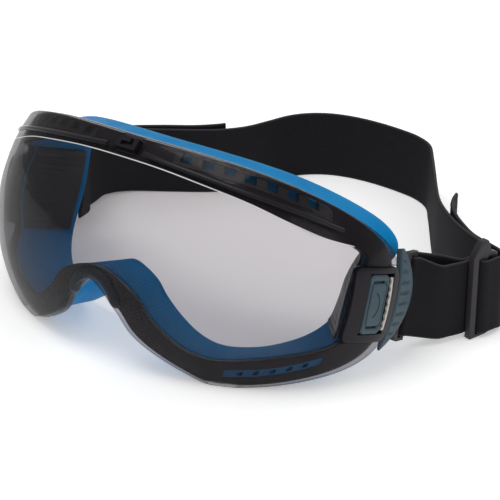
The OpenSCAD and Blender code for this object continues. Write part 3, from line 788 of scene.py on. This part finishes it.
# Routes of the webbing's centre: [x, y, height of the lower edge, lean]
INNER = [at_slider(6.1, -INNER_LAYER), at_slider(0, -INNER_LAYER), at_slider(-6.2, -INNER_LAYER),
         toward_bar(87.4, 32.4, 0.3), toward_bar(83.6, 26.6, 0.65), toward_bar(81, 22.4, 0.92)]
OUTER = [at_bar(-BEND, 0.3), at_bar(-0.75 * BEND, -0.7 * BEND), at_bar(0, -BEND),
         at_bar(0.75 * BEND, -0.7 * BEND), at_bar(BEND, 0.3), toward_bar(86.6, 22, 0.6),
         toward_bar(90.6, 27, 0.1), toward_bar(92.6, 31.6, 0),
         at_slider(-7, 0.1 - LAYER), at_slider(-4.8, -LAYER), at_slider(-3.2, -0.75 * LAYER),
         at_slider(-2.3, 0), at_slider(-1.4, 0.75 * LAYER), at_slider(0, LAYER), at_slider(2.6, LAYER),
         at_slider(5.8, LAYER)]
TAIL = {"left": [[102.8, 50.4, 1, 0], [101.6, 53.8, 0.4, 0], [98.2, 56.4, 0, 0], [92.6, 58.6, 0, 0],
                 [86.2, 61, 0, 0], [80.6, 64, 0, 0], [70.8, 71.4, 0.4, 0], [64.5, 78, 0.8, 0],
                 [61, 84, 0.8, 0], [59, 90, 0.8, 0]],
        "right": [[102.8, 50.4, 1.4, 0], [102.4, 54.6, 1, 0], [99, 60, 0.8, 0], [92.8, 66.6, 0.8, 0],
                  [81.6, 75.8, 0.8, 0], [70.8, 83.8, 0.8, 0], [64, 91, 0.8, 0], [62, 94, 0.8, 0]]}
MAIN = [[95, 53, 1.7, 0], [90, 55.6, 1.7, 0], [79.6, 61, 1.6, 0], [69, 69, 1, 0],
        [57, 80.6, 0.3, 0], [47, 94, 0, 0], [38, 107, 0, 0], [29.6, 119, 0, 0], [22, 129, 0, 0],
        [13, 134.4, 0, 0], [2, 136.8, 0, 0], [-12, 137.8, 0, 0], [-24, 136.8, 0, 0], [-34, 133.6, 0, 0],
        [-42, 127.6, 0, 0],
        [-47, 119.6, 0, 0], [-50, 109, 0, 0], [-53.6, 98, 0, 0], [-60, 89, 0, 0], [-69, 81.4, 0, 0],
        [-80, 73.6, 0, 0], [-90, 65.6, 0.4, 0], [-94.9, 59.3, 0.8, 0], [-96.6, 54, 1.2, 0]]


def webbing(name, route, side="left"):
    """Webbing with rounded edges along a route, with its length and height in millimetres as its UVs."""
    path = catmull(route, 5)
    low = np.maximum(path[:, 2], 0)
    lean_angle = path[:, 3]
    centre = np.stack([path[:, 0], path[:, 1], low + STRAP_W / 2 * np.cos(lean_angle)], -1)
    tangent = np.gradient(centre, axis=0)
    tangent /= np.linalg.norm(tangent, axis=1)[:, None]
    up = np.stack([0 * low, np.sin(lean_angle), np.cos(lean_angle)], -1)
    across = np.cross(tangent, up)
    across /= np.linalg.norm(across, axis=1)[:, None]
    half, t = STRAP_W / 2, STRAP_T / 2
    heights = [-half + 0.35, -half + 1.2, -half + 2, -8, 0, 8, half - 2, half - 1.2, half - 0.35, half]
    swell = [0.75, 1, 0.86, 0.86, 0.86, 0.86, 0.86, 1, 0.75, 0]
    section = [(h, k * t) for h, k in zip(heights, swell)]
    section += [(h, -k * t) for h, k in list(zip(heights, swell))[-2::-1]] + [(-half, 0)]
    loops = np.stack([centre + h * up + w * across for h, w in section], 1)
    loops = (loops + TABLE_SHIFT) * mirror(side)
    obj = loft(name, loops, WEBBING)
    length = np.concatenate([[0], np.cumsum(np.linalg.norm(np.diff(centre, axis=0), axis=1))])
    layer = obj.data.uv_layers.new(name="weave")
    count = len(section)
    for loop in obj.data.loops:
        i, j = divmod(loop.vertex_index, count)
        layer.data[loop.index].uv = (length[i], section[j][0])
    return obj


def add_headband():
    mirrored = [[-p[0], *p[1:]] for p in INNER]
    main = webbing("webbing_main", INNER[::-1] + MAIN + mirrored)
    finish_piece(main, "headband", "strap_main", slot="webbing")
    for side, k in SIDES.items():
        outer = webbing("webbing_outer_" + side, OUTER + TAIL[side], side)
        outward(outer)
        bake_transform(outer)
        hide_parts("strap_loop_" + side, "strap_tail_" + side)


def add_slider(side):
    """A flat buckle with two upright slots and a tab on top."""
    thickness, half, foot, rail, top, tab = 2.7, 6.1, 0.2, 1.2, 33.2, 39
    bar, slot_end = 1.35, 3.25
    profile = [(-half, foot + 0.3), (-half + 0.4, foot), (half - 4, foot), (half, foot + rail),
               (half, top - 0.4), (2.8, top + 1), (1.6, tab - 1.2), (0.8, tab), (-2, tab), (-2.8, tab - 0.8),
               (-half, top)]

    def place(p):
        c, s = math.cos(FLARE), math.sin(FLARE)
        x, y, z = p[..., 0], p[..., 1], p[..., 2]
        row = np.stack([SLIDER_AT[0] + x * c + y * s, SLIDER_AT[1] + y * c - x * s, z], -1)
        return (row + TABLE_SHIFT) * mirror(side)

    loops = np.array([[(x, s, z) for s, z in profile] for x in (-thickness / 2, thickness / 2)])
    obj = outward(loft("slider_body_" + side, place(loops), HARDWARE))
    for s0, s1 in ((-slot_end, -bar), (bar, slot_end)):
        cut(obj, block((-4, s0, foot + rail), (4, s1, top - rail), place))
    bevel(obj, 0.5, 3)
    split_sharp(obj, 50)
    finish_piece(obj, "slider_" + side, "slider_" + side, slot="hardware_black")


def dress_cad_nodes():
    """The nodes that keep the CAD's shape get a material only."""
    looks = {"upper_vent": VENT_DARK, "lower_vent": VENT_BLUE, "pivot_pin": HARDWARE,
             "strap_terminal": HARDWARE}
    dressed = {name + "_" + side: material for name, material in looks.items() for side in SIDES}
    dressed["brow_catch"] = GLOSS
    for name, material in dressed.items():
        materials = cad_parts[name].data.materials
        materials.clear()
        materials.append(material)


add_camera()
add_stage()
add_lens()
add_frame()
add_seal()
add_saddle()
add_brow()
add_painted_highlight_line()
for side_name in SIDES:
    add_clip(side_name)
    add_latch(side_name)
    add_liner(side_name)
    add_panel(side_name)
    add_slider(side_name)
add_headband()
dress_cad_nodes()
